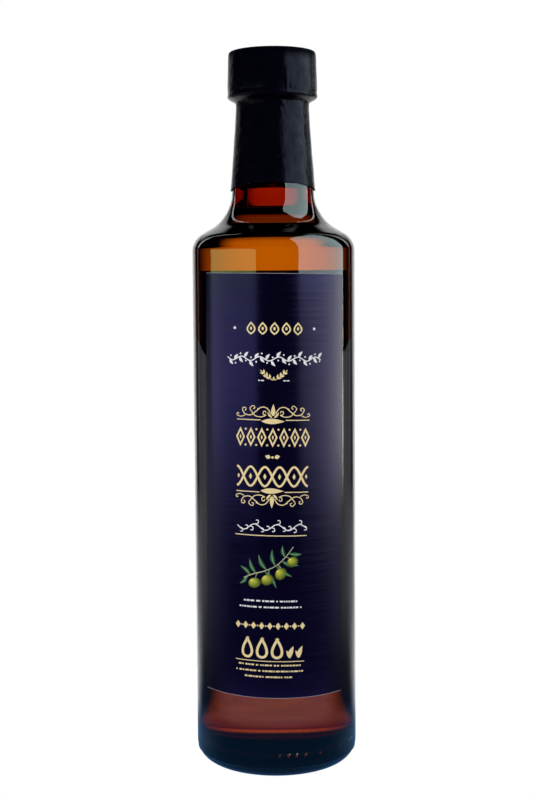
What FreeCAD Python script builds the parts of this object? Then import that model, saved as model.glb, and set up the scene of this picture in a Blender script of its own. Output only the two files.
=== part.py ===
"""Olive oil bottle: a round amber glass bottle, its oil, two labels, and a cap under a shrink sleeve.

Millimetres, +Z up. The origin is the centre of the ring that the bottle stands on, and the front
label faces -Y. Every driving size is one cell of the spreadsheet, and each piece that fits another
takes its size and place from the same cells.
"""
import FreeCAD, Part
import os
import Sketcher

# Driving sizes: alias, value, meaning. Millimetres, and degrees for the slope and the tilt.
SIZES = [
    ("body_dia", 62.0, "outside of the straight glass body"),
    ("wall", 2.6, "glass wall of the body and the shoulder"),
    ("heel_round", 7.4, "rounding from the body to the stand ring"),
    ("stand_ring_dia", 40.0, "inner edge of the flat ring that the bottle stands on"),
    ("punt_depth", 3.0, "rise of the hollow under the base"),
    ("shoulder_height", 201.5, "corner where the body would meet the shoulder slope"),
    ("shoulder_slope", 30.0, "shoulder slope above the horizontal"),
    ("shoulder_round", 7.1, "rounding of that corner"),
    ("neck_base_dia", 32.5, "outside of the neck where it would meet the slope"),
    ("neck_root_round", 15.0, "hollow rounding between the slope and the neck"),
    ("neck_length", 45.0, "from that corner up to the foot of the cap"),
    ("neck_top_dia", 26.6, "outside of the neck at the foot of the cap"),
    ("finish_dia", 25.4, "outside of the mouth inside the cap"),
    ("finish_height", 15.0, "from the foot of the cap to the lip"),
    ("lip_round", 1.0, "rounding of the lip"),
    ("bore_dia", 19.0, "inside of the mouth"),
    ("bore_base_dia", 22.0, "inside of the neck where it would meet the slope"),
    ("bore_root_round", 12.0, "rounding between the bore and the inside of the shoulder"),
    ("floor_edge", 6.8, "height of the inside floor at the wall"),
    ("floor_crown", 2.5, "how much higher the floor is at its centre"),
    ("floor_round", 6.0, "rounding between the floor and the wall"),
    ("fill_above_root", 1.6, "oil level above the corner of slope and neck"),
    ("cap_dia", 33.2, "outside of the cap"),
    ("cap_roof", 1.75, "thickness of the cap's flat top"),
    ("cap_round", 2.0, "rounding of the cap's top edge"),
    ("cap_clearance", 0.25, "gap between the mouth and the cap's skirt"),
    ("sleeve_wall", 0.25, "thickness of the shrink sleeve"),
    ("sleeve_tuck", 2.2, "how far below the cap the sleeve reaches the neck"),
    ("sleeve_curl", 4.2, "how far the sleeve turns in over the top of the cap"),
    ("sleeve_gap", 1.1, "from the neck rounding up to the sleeve's two low points"),
    ("sleeve_arch", 3.7, "how much higher the sleeve's edge is midway between those points"),
    ("label_wall", 0.2, "thickness of a label"),
    ("label_foot", 31.6, "front label: lower edge above the ground"),
    ("label_head", 12.9, "front label: upper edge below the shoulder corner"),
    ("label_width", 58.9, "front label: width along the glass"),
    ("label_shift", -0.5, "front label: centre to the right of the bottle's front"),
    ("label_tilt", 0.8, "front label: stuck on this much askew"),
    ("back_foot", 34.5, "back label: lower edge above the ground"),
    ("back_head", 11.0, "back label: upper edge below the shoulder corner"),
    ("back_width", 58.9, "back label: width along the glass"),
]

# Places worked out from the driving sizes, as spreadsheet expressions.
BODY_R = "Sizes.body_dia / 2"
INNER_R = "(Sizes.body_dia / 2 - Sizes.wall)"
NECK_BASE_R = "Sizes.neck_base_dia / 2"
NECK_TOP_R = "Sizes.neck_top_dia / 2"
BORE_BASE_R = "Sizes.bore_base_dia / 2"
CAP_R = "Sizes.cap_dia / 2"
NECK_ROOT = (
    "(Sizes.shoulder_height"
    " + (Sizes.body_dia - Sizes.neck_base_dia) / 2 * tan(Sizes.shoulder_slope))"
)
CAP_FOOT = f"({NECK_ROOT} + Sizes.neck_length)"
LIP = f"({CAP_FOOT} + Sizes.finish_height)"
CAP_TOP = f"({LIP} + Sizes.cap_roof)"
SLEEVE_TOP = f"({CAP_TOP} + Sizes.sleeve_wall)"
SLEEVE_TUCK = f"({CAP_FOOT} - Sizes.sleeve_tuck)"
SLEEVE_FOOT = (
    f"({NECK_ROOT} + Sizes.neck_root_round * tan((90 - Sizes.shoulder_slope) / 2)"
    " + Sizes.sleeve_gap)"
)
OVERCUT = 2.0  # how far a cutting shape runs past what it cuts


def neck_radius(height):
    """Outside radius of the tapered neck at a height, as an expression."""
    taper = f"({NECK_BASE_R} - {NECK_TOP_R}) / Sizes.neck_length"
    return f"({NECK_TOP_R} + ({CAP_FOOT} - {height}) * {taper})"


def inner_slope(radius):
    """Height of the inside of the shoulder slope at a radius, one wall below the outside."""
    rise = f"({BODY_R} - {radius}) * tan(Sizes.shoulder_slope)"
    return f"(Sizes.shoulder_height + {rise} - Sizes.wall / cos(Sizes.shoulder_slope))"


def make_sheet(doc):
    """The spreadsheet with one row for each driving size."""
    sheet = doc.addObject("Spreadsheet::Sheet", "Sizes")
    for row, (alias, value, meaning) in enumerate(SIZES, start=1):
        sheet.set(f"A{row}", alias)
        sheet.set(f"B{row}", str(value))
        sheet.set(f"C{row}", meaning)
        sheet.setAlias(f"B{row}", alias)
    doc.recompute()
    return sheet


def value(sheet, expression):
    """The number that an expression stands for."""
    return float(sheet.evalExpression(expression))


def new_sketch(body, name, role="XZ_Plane"):
    """An empty sketch on one of the body's own origin planes."""
    sketch = body.newObject("Sketcher::SketchObject", name)
    plane = next(item for item in body.Origin.OriginFeatures if item.Role == role)
    sketch.AttachmentSupport = [(plane, "")]
    sketch.MapMode = "FlatFace"
    return sketch


def hold(sketch, kind, line, corner, sheet, expression):
    """Hold one corner's distance from the origin, across or up, to an expression."""
    number = value(sheet, expression)
    index = sketch.addConstraint(Sketcher.Constraint(kind, -1, 1, line, corner, number))
    sketch.setExpression(f"Constraints[{index}]", expression)


def draw_outline(sketch, sheet, corners):
    """A closed outline of straight sides. A corner at "0" lies on the axis or the ground line."""
    points = [FreeCAD.Vector(value(sheet, across), value(sheet, up), 0) for across, up in corners]
    for start, end in zip(points, points[1:] + points[:1]):
        sketch.addGeometry(Part.LineSegment(start, end))
    for line, (across, up) in enumerate(corners):
        following = (line + 1) % len(corners)
        sketch.addConstraint(Sketcher.Constraint("Coincident", line, 2, following, 1))
        if across == "0":
            sketch.addConstraint(Sketcher.Constraint("PointOnObject", line, 1, -2))
        else:
            hold(sketch, "DistanceX", line, 1, sheet, across)
        if up == "0":
            sketch.addConstraint(Sketcher.Constraint("PointOnObject", line, 1, -1))
        else:
            hold(sketch, "DistanceY", line, 1, sheet, up)


def turned_body(doc, sheet, name, corners):
    """A body turned about Z from an outline of (radius, height) corners."""
    body = doc.addObject("PartDesign::Body", name)
    sketch = new_sketch(body, f"{name}_outline")
    draw_outline(sketch, sheet, corners)
    turn = body.newObject("PartDesign::Revolution", f"{name}_turn")
    turn.Profile = sketch
    turn.ReferenceAxis = (sketch, ["V_Axis"])
    turn.Angle = 360
    sketch.Visibility = False
    doc.recompute()
    return body


def round_ring(doc, sheet, body, name, radius, height, rounding):
    """Round the circular edge of a turned body that lies at a radius and a height."""
    base = body.Tip
    at_radius = value(sheet, radius)
    at_height = value(sheet, height)

    def distance(edge):
        circle = edge.Curve
        if not isinstance(circle, Part.Circle):
            return float("inf")
        return abs(circle.Radius - at_radius) + abs(circle.Center.z - at_height)

    edges = base.Shape.Edges
    nearest = min(range(len(edges)), key=lambda index: distance(edges[index]))
    fillet = body.newObject("PartDesign::Fillet", name)
    fillet.Base = (base, [f"Edge{nearest + 1}"])
    fillet.setExpression("Radius", rounding)
    doc.recompute()


def make_outer_glass(doc, sheet):
    """The bottle's outside as one solid, with the hollow under its base still to be cut."""
    mouth_r = "Sizes.finish_dia / 2"
    body = turned_body(doc, sheet, "outer_glass", [
        ("0", "0"),
        (BODY_R, "0"),
        (BODY_R, "Sizes.shoulder_height"),
        (NECK_BASE_R, NECK_ROOT),
        (NECK_TOP_R, CAP_FOOT),
        (mouth_r, CAP_FOOT),
        (mouth_r, LIP),
        ("0", LIP),
    ])
    round_ring(doc, sheet, body, "heel", BODY_R, "0", "Sizes.heel_round")
    round_ring(doc, sheet, body, "shoulder", BODY_R, "Sizes.shoulder_height", "Sizes.shoulder_round")
    round_ring(doc, sheet, body, "neck_root", NECK_BASE_R, NECK_ROOT, "Sizes.neck_root_round")
    round_ring(doc, sheet, body, "lip", mouth_r, LIP, "Sizes.lip_round")
    return body


def make_cavity(doc, sheet):
    """The space inside the bottle. It cuts the glass, and its lower part is the oil."""
    top = f"({LIP} + {OVERCUT})"
    body = turned_body(doc, sheet, "cavity", [
        ("0", "(Sizes.floor_edge + Sizes.floor_crown)"),
        (INNER_R, "Sizes.floor_edge"),
        (INNER_R, inner_slope(INNER_R)),
        (BORE_BASE_R, inner_slope(BORE_BASE_R)),
        ("Sizes.bore_dia / 2", top),
        ("0", top),
    ])
    inner_shoulder = "(Sizes.shoulder_round - Sizes.wall)"
    round_ring(doc, sheet, body, "floor_corner", INNER_R, "Sizes.floor_edge", "Sizes.floor_round")
    round_ring(doc, sheet, body, "inner_shoulder", INNER_R, inner_slope(INNER_R), inner_shoulder)
    round_ring(doc, sheet, body, "bore_root", BORE_BASE_R, inner_slope(BORE_BASE_R),
               "Sizes.bore_root_round")
    return body


def combine(doc, kind, label, base, tool):
    """A Part::Cut or Part::Common of two shapes, under its own label."""
    result = doc.addObject(kind, label)
    result.Label = label
    result.Base = base
    result.Tool = tool
    return result


def make_glass(doc, sheet, outer_glass, cavity):
    """The glass: the outside less the cavity and the shallow round hollow under the base."""
    ring_r = "Sizes.stand_ring_dia / 2"
    ball_r = f"(({ring_r})^2 + Sizes.punt_depth^2) / (2 * Sizes.punt_depth)"
    punt = doc.addObject("Part::Sphere", "punt")
    punt.setExpression("Radius", ball_r)
    punt.setExpression("Placement.Base.z", f"Sizes.punt_depth - {ball_r}")
    shell = combine(doc, "Part::Cut", "glass_shell", outer_glass, cavity)
    return combine(doc, "Part::Cut", "glass_bottle", shell, punt)


def make_oil(doc, sheet, cavity):
    """The oil: the cavity up to the fill level."""
    slab = doc.addObject("Part::Cylinder", "below_fill_level")
    slab.setExpression("Radius", BODY_R)
    slab.setExpression("Height", f"{NECK_ROOT} + Sizes.fill_above_root")
    return combine(doc, "Part::Common", "oil", cavity, slab)


def make_cap(doc, sheet):
    """The cap: a cup that sits on the lip and clears the mouth all round."""
    skirt_r = "(Sizes.finish_dia / 2 + Sizes.cap_clearance)"
    body = turned_body(doc, sheet, "cap", [
        ("0", LIP),
        (skirt_r, LIP),
        (skirt_r, CAP_FOOT),
        (CAP_R, CAP_FOOT),
        (CAP_R, CAP_TOP),
        ("0", CAP_TOP),
    ])
    round_ring(doc, sheet, body, "cap_edge", CAP_R, CAP_TOP, "Sizes.cap_round")
    return body


def make_sleeve(doc, sheet):
    """The shrink sleeve: over the cap's edge, down its side, in under it and down the neck."""
    curl_r = f"({CAP_R} - Sizes.sleeve_curl)"
    outer_r = f"({CAP_R} + Sizes.sleeve_wall)"
    body = turned_body(doc, sheet, "sleeve", [
        (curl_r, SLEEVE_TOP),
        (curl_r, CAP_TOP),
        (CAP_R, CAP_TOP),
        (CAP_R, CAP_FOOT),
        (neck_radius(SLEEVE_TUCK), SLEEVE_TUCK),
        (neck_radius(SLEEVE_FOOT), SLEEVE_FOOT),
        (f"({neck_radius(SLEEVE_FOOT)} + Sizes.sleeve_wall)", SLEEVE_FOOT),
        (f"({neck_radius(SLEEVE_TUCK)} + Sizes.sleeve_wall)", SLEEVE_TUCK),
        (outer_r, CAP_FOOT),
        (outer_r, SLEEVE_TOP),
    ])
    round_ring(doc, sheet, body, "curl_inside", CAP_R, CAP_TOP, "Sizes.cap_round")
    round_ring(doc, sheet, body, "curl_outside", outer_r, SLEEVE_TOP,
               "Sizes.cap_round + Sizes.sleeve_wall")
    cut_sleeve_arch(doc, sheet, body)
    return body


def cut_sleeve_arch(doc, sheet, body):
    """Cut the sleeve's lower edge to an arch, front and back, between its two low points."""
    reach = f"({neck_radius(SLEEVE_FOOT)} + Sizes.sleeve_wall)"
    arch_r = f"(({reach})^2 + Sizes.sleeve_arch^2) / (2 * Sizes.sleeve_arch)"
    centre = f"({SLEEVE_FOOT} + Sizes.sleeve_arch - {arch_r})"
    sketch = new_sketch(body, "arch_outline")
    middle = FreeCAD.Vector(0, value(sheet, centre), 0)
    circle = Part.Circle(middle, FreeCAD.Vector(0, 0, 1), value(sheet, arch_r))
    sketch.addGeometry(circle)
    sketch.addConstraint(Sketcher.Constraint("PointOnObject", 0, 3, -2))
    hold(sketch, "DistanceY", 0, 3, sheet, centre)
    index = sketch.addConstraint(Sketcher.Constraint("Radius", 0, value(sheet, arch_r)))
    sketch.setExpression(f"Constraints[{index}]", arch_r)
    before = body.Tip.Shape.Volume
    arch = body.newObject("PartDesign::Pocket", "arch")
    arch.Profile = sketch
    arch.Type = "ThroughAll"
    arch.Midplane = True
    sketch.Visibility = False
    doc.recompute()
    if arch.Shape.Volume >= before:
        raise RuntimeError("the arch doesn't cut the sleeve")


def make_label(doc, sheet, label, side, width, foot, head, shift="0", tilt="0"):
    """A label: the piece of a thin skin round the glass that lies in a straight slab.

    side is 1 for a label that faces -Y and -1 for one that faces +Y. shift moves it towards +X, and
    tilt turns it clockwise as seen from -Y.
    """
    skin = [doc.addObject("Part::Cylinder", f"{label}_{name}") for name in ("outside", "inside")]
    for cylinder, radius in zip(skin, (f"{BODY_R} + Sizes.label_wall", BODY_R)):
        cylinder.setExpression("Radius", radius)
        cylinder.setExpression("Height", "Sizes.shoulder_height")
    ring = combine(doc, "Part::Cut", f"{label}_skin", *skin)

    height = f"(Sizes.shoulder_height - {head} - {foot})"
    half_chord = f"({BODY_R} * sin({width} / Sizes.body_dia * 180 / pi))"
    slab = doc.addObject("PartDesign::Body", f"{label}_slab")
    sketch = new_sketch(slab, f"{label}_outline")
    corners = [(-1, -1), (1, -1), (1, 1), (-1, 1)]
    half_x = value(sheet, half_chord)
    half_z = value(sheet, height) / 2
    points = [FreeCAD.Vector(x * half_x, z * half_z, 0) for x, z in corners]
    for start, end in zip(points, points[1:] + points[:1]):
        sketch.addGeometry(Part.LineSegment(start, end))
    for line, direction in enumerate(("Horizontal", "Vertical") * 2):
        sketch.addConstraint(Sketcher.Constraint("Coincident", line, 2, (line + 1) % 4, 1))
        sketch.addConstraint(Sketcher.Constraint(direction, line))
    sketch.addConstraint(Sketcher.Constraint("Symmetric", 0, 1, 1, 2, -1, 1))
    for kind, line, size in (("DistanceX", 0, f"2 * {half_chord}"), ("DistanceY", 1, height)):
        number = value(sheet, size)
        index = sketch.addConstraint(Sketcher.Constraint(kind, line, 1, line, 2, number))
        sketch.setExpression(f"Constraints[{index}]", size)
    upright = FreeCAD.Rotation(FreeCAD.Vector(0, 0, 1), 0)
    sketch.AttachmentOffset = FreeCAD.Placement(FreeCAD.Vector(0, 0, 0), upright)
    sketch.setExpression("AttachmentOffset.Base.x", shift)
    sketch.setExpression("AttachmentOffset.Base.y", f"{foot} + {height} / 2")
    sketch.setExpression("AttachmentOffset.Rotation.Angle", f"-({tilt})")
    pad = slab.newObject("PartDesign::Pad", f"{label}_pad")
    pad.Profile = sketch
    pad.setExpression("Length", f"{BODY_R} + {OVERCUT}")
    pad.Reversed = side < 0
    sketch.Visibility = False
    doc.recompute()
    return combine(doc, "Part::Common", label, ring, slab)


def check_and_write(doc, nodes):
    """Stop on any failed feature or unsound solid, then write one STEP file for each node."""
    doc.recompute()
    for item in doc.Objects:
        if {"Invalid", "Error"} & set(item.State):
            raise RuntimeError(f"{item.Label} failed to build")
    for node in nodes:
        shape = node.Shape
        if shape.isNull() or not shape.isValid() or len(shape.Solids) != 1:
            raise RuntimeError(f"{node.Label} is not one sound solid")
    os.makedirs("parts", exist_ok=True)
    for node in nodes:
        node.Shape.exportStep(os.path.join("parts", f"{node.Label}.step"))
        print(f"{node.Label:14s} {node.Shape.Volume / 1000:8.3f} cm3")


def main():
    doc = FreeCAD.newDocument("olive_oil_bottle")
    sheet = make_sheet(doc)
    cavity = make_cavity(doc, sheet)
    nodes = [
        make_glass(doc, sheet, make_outer_glass(doc, sheet), cavity),
        make_oil(doc, sheet, cavity),
        make_cap(doc, sheet),
        make_sleeve(doc, sheet),
        make_label(doc, sheet, "label_front", 1, "Sizes.label_width", "Sizes.label_foot",
                   "Sizes.label_head", "Sizes.label_shift", "Sizes.label_tilt"),
        make_label(doc, sheet, "label_back", -1, "Sizes.back_width", "Sizes.back_foot",
                   "Sizes.back_head"),
    ]
    check_and_write(doc, nodes)


main()
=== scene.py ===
"""Looks of the olive oil bottle: amber glass, oil, shrink sleeve, cap, labels with their print, and
the studio they stand in. Shapes are drawn in millimetres and scaled to metres when each is finished.
"""
import math
import random

import bmesh
import bpy
from mathutils import Matrix, Vector, noise


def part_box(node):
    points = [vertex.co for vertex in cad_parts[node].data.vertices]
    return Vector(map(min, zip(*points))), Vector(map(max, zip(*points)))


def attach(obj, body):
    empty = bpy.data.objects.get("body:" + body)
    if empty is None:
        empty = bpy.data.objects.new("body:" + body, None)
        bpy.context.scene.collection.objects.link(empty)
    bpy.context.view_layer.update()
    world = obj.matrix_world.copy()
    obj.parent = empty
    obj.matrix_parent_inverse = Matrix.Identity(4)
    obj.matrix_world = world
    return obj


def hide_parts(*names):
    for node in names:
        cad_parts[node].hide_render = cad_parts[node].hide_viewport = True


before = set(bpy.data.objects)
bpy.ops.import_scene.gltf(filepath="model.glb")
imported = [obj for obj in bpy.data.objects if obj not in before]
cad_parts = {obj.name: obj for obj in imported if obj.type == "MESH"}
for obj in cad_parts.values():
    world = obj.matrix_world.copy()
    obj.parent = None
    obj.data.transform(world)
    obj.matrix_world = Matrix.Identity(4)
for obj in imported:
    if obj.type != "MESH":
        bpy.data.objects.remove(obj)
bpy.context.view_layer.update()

MM = 0.001
FULL_TURN = 2 * math.pi


def node_box(node):
    """Lowest and highest corner of a CAD node, in millimetres."""
    return [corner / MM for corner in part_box(node)]


# Sizes in millimetres. What the frame knows comes from it, and the rest are the glass maker's sizes.
BODY_R = node_box("glass_bottle")[1].x
LIP = node_box("glass_bottle")[1].z
FILL_LEVEL = node_box("oil")[1].z
WALL = 2.6
HEEL_ROUND = 7.4
STAND_RING_R = 20.0
PUNT_DEPTH = 3.0
SHOULDER = 201.5
SLOPE = math.radians(30)
SHOULDER_ROUND = 7.1
NECK_BASE_R = 16.25
NECK_ROOT_ROUND = 15.0
NECK_TOP_R = 13.3
FINISH_R = 12.7
FINISH_HEIGHT = 15.0
LIP_ROUND = 1.0
BORE_BASE_R = 9.9
BORE_R = 9.55
BORE_ROOT_ROUND = 12.0
FLOOR_EDGE = 8.2
FLOOR_CROWN = 2.5
FLOOR_ROUND = 4.0
NECK_ROOT = SHOULDER + (BODY_R - NECK_BASE_R) * math.tan(SLOPE)
CAP_FOOT = LIP - FINISH_HEIGHT


# ---------------------------------------------------------------- tools

def linear(hex_code):
    """Linear RGBA of an sRGB hex colour."""
    channels = [int(hex_code[i:i + 2], 16) / 255 for i in (0, 2, 4)]
    return [c / 12.92 if c <= 0.04045 else ((c + 0.055) / 1.055) ** 2.4 for c in channels] + [1.0]


def add_node(tree, kind, settings=None, inputs=None):
    """Add a node with its settings and its inputs. An input that is a socket is linked, and one that
    is a node is linked from its first live output."""
    node = tree.nodes.new(kind)
    for name, value in (settings or {}).items():
        setattr(node, name, value)
    for name, value in (inputs or {}).items():
        if isinstance(value, bpy.types.Node):
            value = next(output for output in value.outputs if output.enabled)
        if isinstance(value, bpy.types.NodeSocket):
            tree.links.new(value, node.inputs[name])
        else:
            node.inputs[name].default_value = value
    return node


def new_material(name):
    """An empty node material and its tree."""
    material = bpy.data.materials.new(name)
    material.use_nodes = True
    material.node_tree.nodes.clear()
    return material, material.node_tree


def finish_piece(bm, name, materials, smooth_below=40):
    """Turn a millimetre bmesh into a piece in metres that rides on the bottle."""
    bmesh.ops.scale(bm, vec=(MM, MM, MM), verts=bm.verts)
    mesh = bpy.data.meshes.new(name)
    bm.to_mesh(mesh)
    bm.free()
    mesh.shade_smooth()
    mesh.set_sharp_from_angle(angle=math.radians(smooth_below))
    for material in materials:
        mesh.materials.append(material)
    piece = bpy.data.objects.new(name, mesh)
    bpy.context.scene.collection.objects.link(piece)
    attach(piece, "root")
    return piece


def draw_profile(bm, corners):
    """Join (radius, height, rounding) corners with edges, and round those that have a rounding."""
    verts = [bm.verts.new((radius, 0, height)) for radius, height, rounding in corners]
    for pair in zip(verts, verts[1:]):
        bm.edges.new(pair)
    for before, here, after in zip(range(len(corners)), range(1, len(corners)), range(2, len(corners))):
        rounding = corners[here][2]
        if not rounding:
            continue
        back = Vector(corners[before][:2]) - Vector(corners[here][:2])
        on = Vector(corners[after][:2]) - Vector(corners[here][:2])
        turn = math.pi - back.angle(on)
        segments = max(4, round(turn / math.radians(4)))
        bmesh.ops.bevel(bm, geom=[verts[here]], offset=rounding * math.tan(turn / 2),
                        offset_type="OFFSET", affect="VERTICES", segments=segments, profile=0.5,
                        material=-1)


def spin_profile(bm, steps):
    """Turn the drawn profile about Z into a closed surface with its faces outward."""
    bmesh.ops.spin(bm, geom=bm.verts[:] + bm.edges[:], cent=(0, 0, 0), axis=(0, 0, 1),
                   angle=FULL_TURN, steps=steps, use_merge=True)
    bmesh.ops.remove_doubles(bm, verts=bm.verts, dist=0.001)
    bmesh.ops.recalc_face_normals(bm, faces=bm.faces)


# ---------------------------------------------------------------- glass and oil

def neck_radius(height):
    """Outside radius of the tapered glass neck at a height."""
    taper = (NECK_BASE_R - NECK_TOP_R) / (CAP_FOOT - NECK_ROOT)
    return NECK_TOP_R + (CAP_FOOT - height) * taper


def cavity_corners(grow=0.0):
    """Corners of the space inside the glass, from the floor up to the lip, grown into the wall."""
    inner_r = BODY_R - WALL + grow
    bore_base = BORE_BASE_R + grow
    bore_top = BORE_R + grow

    def ceiling(radius):
        return SHOULDER + (BODY_R - radius) * math.tan(SLOPE) - (WALL - grow) / math.cos(SLOPE)

    return [
        (0, FLOOR_EDGE + FLOOR_CROWN - grow, 0),
        (inner_r, FLOOR_EDGE - grow, FLOOR_ROUND),
        (inner_r, ceiling(inner_r), SHOULDER_ROUND - WALL),
        (bore_base, ceiling(bore_base), BORE_ROOT_ROUND),
        (bore_top, LIP, 0),
    ]


def make_glass(material):
    """The bottle: one closed wall of glass, with a fine mould ridge round its heel."""
    ridge_height = 4.7
    ridge_rise = 0.22
    ball_r = (STAND_RING_R ** 2 + PUNT_DEPTH ** 2) / (2 * PUNT_DEPTH)
    punt = [
        (STAND_RING_R * step / 8, PUNT_DEPTH - ball_r
         + math.sqrt(ball_r ** 2 - (STAND_RING_R * step / 8) ** 2), 0)
        for step in range(9)
    ]
    outside = [
        (BODY_R, 0, HEEL_ROUND),
        (BODY_R, SHOULDER, SHOULDER_ROUND),
        (NECK_BASE_R, NECK_ROOT, NECK_ROOT_ROUND),
        (NECK_TOP_R, CAP_FOOT, 0),
        (FINISH_R, CAP_FOOT, 0),
        (FINISH_R, LIP, LIP_ROUND),
    ]
    bm = bmesh.new()
    draw_profile(bm, punt + outside + cavity_corners()[::-1])
    heel = [v for v in bm.verts if v.co.x > BODY_R - 1]
    ridge = min(heel, key=lambda v: abs(v.co.z - ridge_height))
    ridge.co.x += ridge_rise
    spin_profile(bm, 256)
    glass = finish_piece(bm, "bottle_glass", [material])
    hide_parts("glass_bottle")
    return glass


def make_oil(material):
    """The oil: it reaches just into the glass, and its surface climbs a little at the wall."""
    into_wall = 0.15
    meniscus = [(0.5, 0.7), (0.8, 0.35), (1.0, 0.14), (1.4, 0.01)]
    climb = 1.3
    bm = bmesh.new()
    draw_profile(bm, cavity_corners(into_wall))
    spin_profile(bm, 192)
    cut = bmesh.ops.bisect_plane(bm, geom=bm.verts[:] + bm.edges[:] + bm.faces[:], dist=0.0001,
                                 plane_co=(0, 0, FILL_LEVEL + climb), plane_no=(0, 0, 1),
                                 clear_outer=True)
    rim = [item for item in cut["geom_cut"] if isinstance(item, bmesh.types.BMEdge)]
    for inward, height in meniscus:
        grown = bmesh.ops.extrude_edge_only(bm, edges=rim)["geom"]
        verts = [item for item in grown if isinstance(item, bmesh.types.BMVert)]
        rim = [item for item in grown if isinstance(item, bmesh.types.BMEdge)
               and all(vert in verts for vert in item.verts)]
        for vert in verts:
            flat = vert.co.xy.normalized() * inward
            vert.co = (vert.co.x - flat.x, vert.co.y - flat.y, FILL_LEVEL + height)
    bmesh.ops.edgeloop_fill(bm, edges=rim)
    bmesh.ops.recalc_face_normals(bm, faces=bm.faces)
    oil = finish_piece(bm, "oil_fill", [material])
    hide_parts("oil")
    return oil


# ---------------------------------------------------------------- labels

LABEL_STAND_OFF = 0.02
LABEL_THICK = 0.11
LABEL_WIDTH = 58.9
LABEL_SHIFT = -0.5
LABEL_TILT = math.radians(0.8)
PRINT_TILT = math.radians(1.3)


def wrap(bm, middle, shift=0.0, tilt=0.0, behind=False):
    """Wrap a flat shape round the bottle. Across is X, up is Y, and Z is how far it stands proud."""
    facing = Matrix.Rotation(math.pi if behind else 0, 3, "Z")
    for vert in bm.verts:
        across, up, proud = vert.co
        turned_across = across * math.cos(tilt) + up * math.sin(tilt) + shift
        turned_up = up * math.cos(tilt) - across * math.sin(tilt)
        angle = turned_across / BODY_R
        radius = BODY_R + proud
        place = Vector((radius * math.sin(angle), -radius * math.cos(angle), turned_up + middle))
        vert.co = facing @ place


def make_label_sheet(name, node, materials, shift=0.0, tilt=0.0, behind=False, lowered=0.0):
    """One label: a thin wrapped sheet whose cut edge shows the paper's core."""
    rim_width = 0.16
    cut_band = 0.2
    low, high = node_box(node)
    lean = LABEL_WIDTH * math.sin(tilt) * 0.85
    height = high.z - low.z - lean - lowered
    middle = (high.z + low.z - lowered) / 2
    bm = bmesh.new()
    bmesh.ops.create_grid(bm, x_segments=90, y_segments=40, size=0.5)
    bmesh.ops.scale(bm, vec=(LABEL_WIDTH, height, 1), verts=bm.verts)
    top = bmesh.ops.extrude_face_region(bm, geom=bm.faces[:])["geom"]
    raised = [item for item in top if isinstance(item, bmesh.types.BMVert)]
    bmesh.ops.translate(bm, vec=(0, 0, LABEL_THICK), verts=raised)
    bmesh.ops.recalc_face_normals(bm, faces=bm.faces)
    for face in bm.faces:
        face.material_index = 1 if abs(face.normal.z) < 0.5 else (2 if face.normal.z < 0 else 0)
    printed = [face for face in bm.faces if face.material_index == 0]
    rim = bmesh.ops.inset_region(bm, faces=printed, thickness=rim_width, depth=0.0,
                                   use_even_offset=True)
    for face in rim["faces"]:
        if abs(face.calc_center_median().y) > height / 2 - cut_band:
            face.material_index = 1
    bmesh.ops.translate(bm, vec=(0, 0, LABEL_STAND_OFF), verts=bm.verts)
    wrap(bm, middle, shift, tilt, behind)
    sheet = finish_piece(bm, name, materials)
    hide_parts(node)
    return sheet


# ---------------------------------------------------------------- print on the labels

INK_RISE = 0.03
PRINT_SHIFT = -1.1
LABEL_FOOT = 31.56
PRINT_MIDDLE = 78.5


def smooth_line(points, per_span=5):
    """Points of a smooth line that passes through the given ones."""
    points = [Vector(p) for p in points]
    ends = [2 * points[0] - points[1]] + points + [2 * points[-1] - points[-2]]
    line = []
    for before, start, end, after in zip(ends, ends[1:], ends[2:], ends[3:]):
        for step in range(per_span):
            t = step / per_span
            line.append(0.5 * ((2 * start) + (end - before) * t
                               + (2 * before - 5 * start + 4 * end - after) * t ** 2
                               + (3 * start - before - 3 * end + after) * t ** 3))
    return line + [points[-1]]


def spiral(centre, start_radius, end_radius, start_angle, sweep, steps=22):
    """Points of a spiral round a centre, with angles in degrees."""
    line = []
    for step in range(steps + 1):
        t = step / steps
        radius = start_radius + (end_radius - start_radius) * t
        angle = math.radians(start_angle + sweep * t)
        line.append(Vector(centre) + radius * Vector((math.cos(angle), math.sin(angle))))
    return line


def mirrored(points):
    """The same points on the other side of the label's middle."""
    return [Vector((-p[0], p[1])) for p in points]


def stroke(bm, points, width, taper=0.0):
    """A flat ribbon of ink along a line of points. taper narrows it towards its far end."""
    points = [Vector(p) for p in points]
    edge = None
    for index, point in enumerate(points):
        ahead = points[min(index + 1, len(points) - 1)] - points[max(index - 1, 0)]
        narrowed = width * (1 - taper * index / (len(points) - 1))
        side = Vector((-ahead.y, ahead.x)).normalized() * narrowed / 2
        left = (point + side).to_3d()
        right = (point - side).to_3d()
        if edge is None:
            pair = (bm.verts.new(left), bm.verts.new(right))
            edge = bm.edges.new(pair)
            continue
        old_left = pair[0].co.copy()
        grown = bmesh.ops.extrude_edge_only(bm, edges=[edge])["geom"]
        verts = [item for item in grown if isinstance(item, bmesh.types.BMVert)]
        edge = [item for item in grown if isinstance(item, bmesh.types.BMEdge)
                and set(item.verts) == set(verts)][0]
        pair = sorted(verts, key=lambda vert: (vert.co - old_left).length)
        pair[0].co = left
        pair[1].co = right


def patch(bm, points):
    """A flat filled shape."""
    face = bm.faces.new([bm.verts.new((p[0], p[1], 0)) for p in points])
    face.normal_update()
    return face


def ring(bm, points, width):
    """The outline of a flat shape, drawn inwards with a width."""
    face = patch(bm, points)
    bmesh.ops.inset_region(bm, faces=[face], thickness=width, use_boundary=True,
                           use_even_offset=True)
    bmesh.ops.delete(bm, geom=[face], context="FACES_ONLY")


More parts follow.
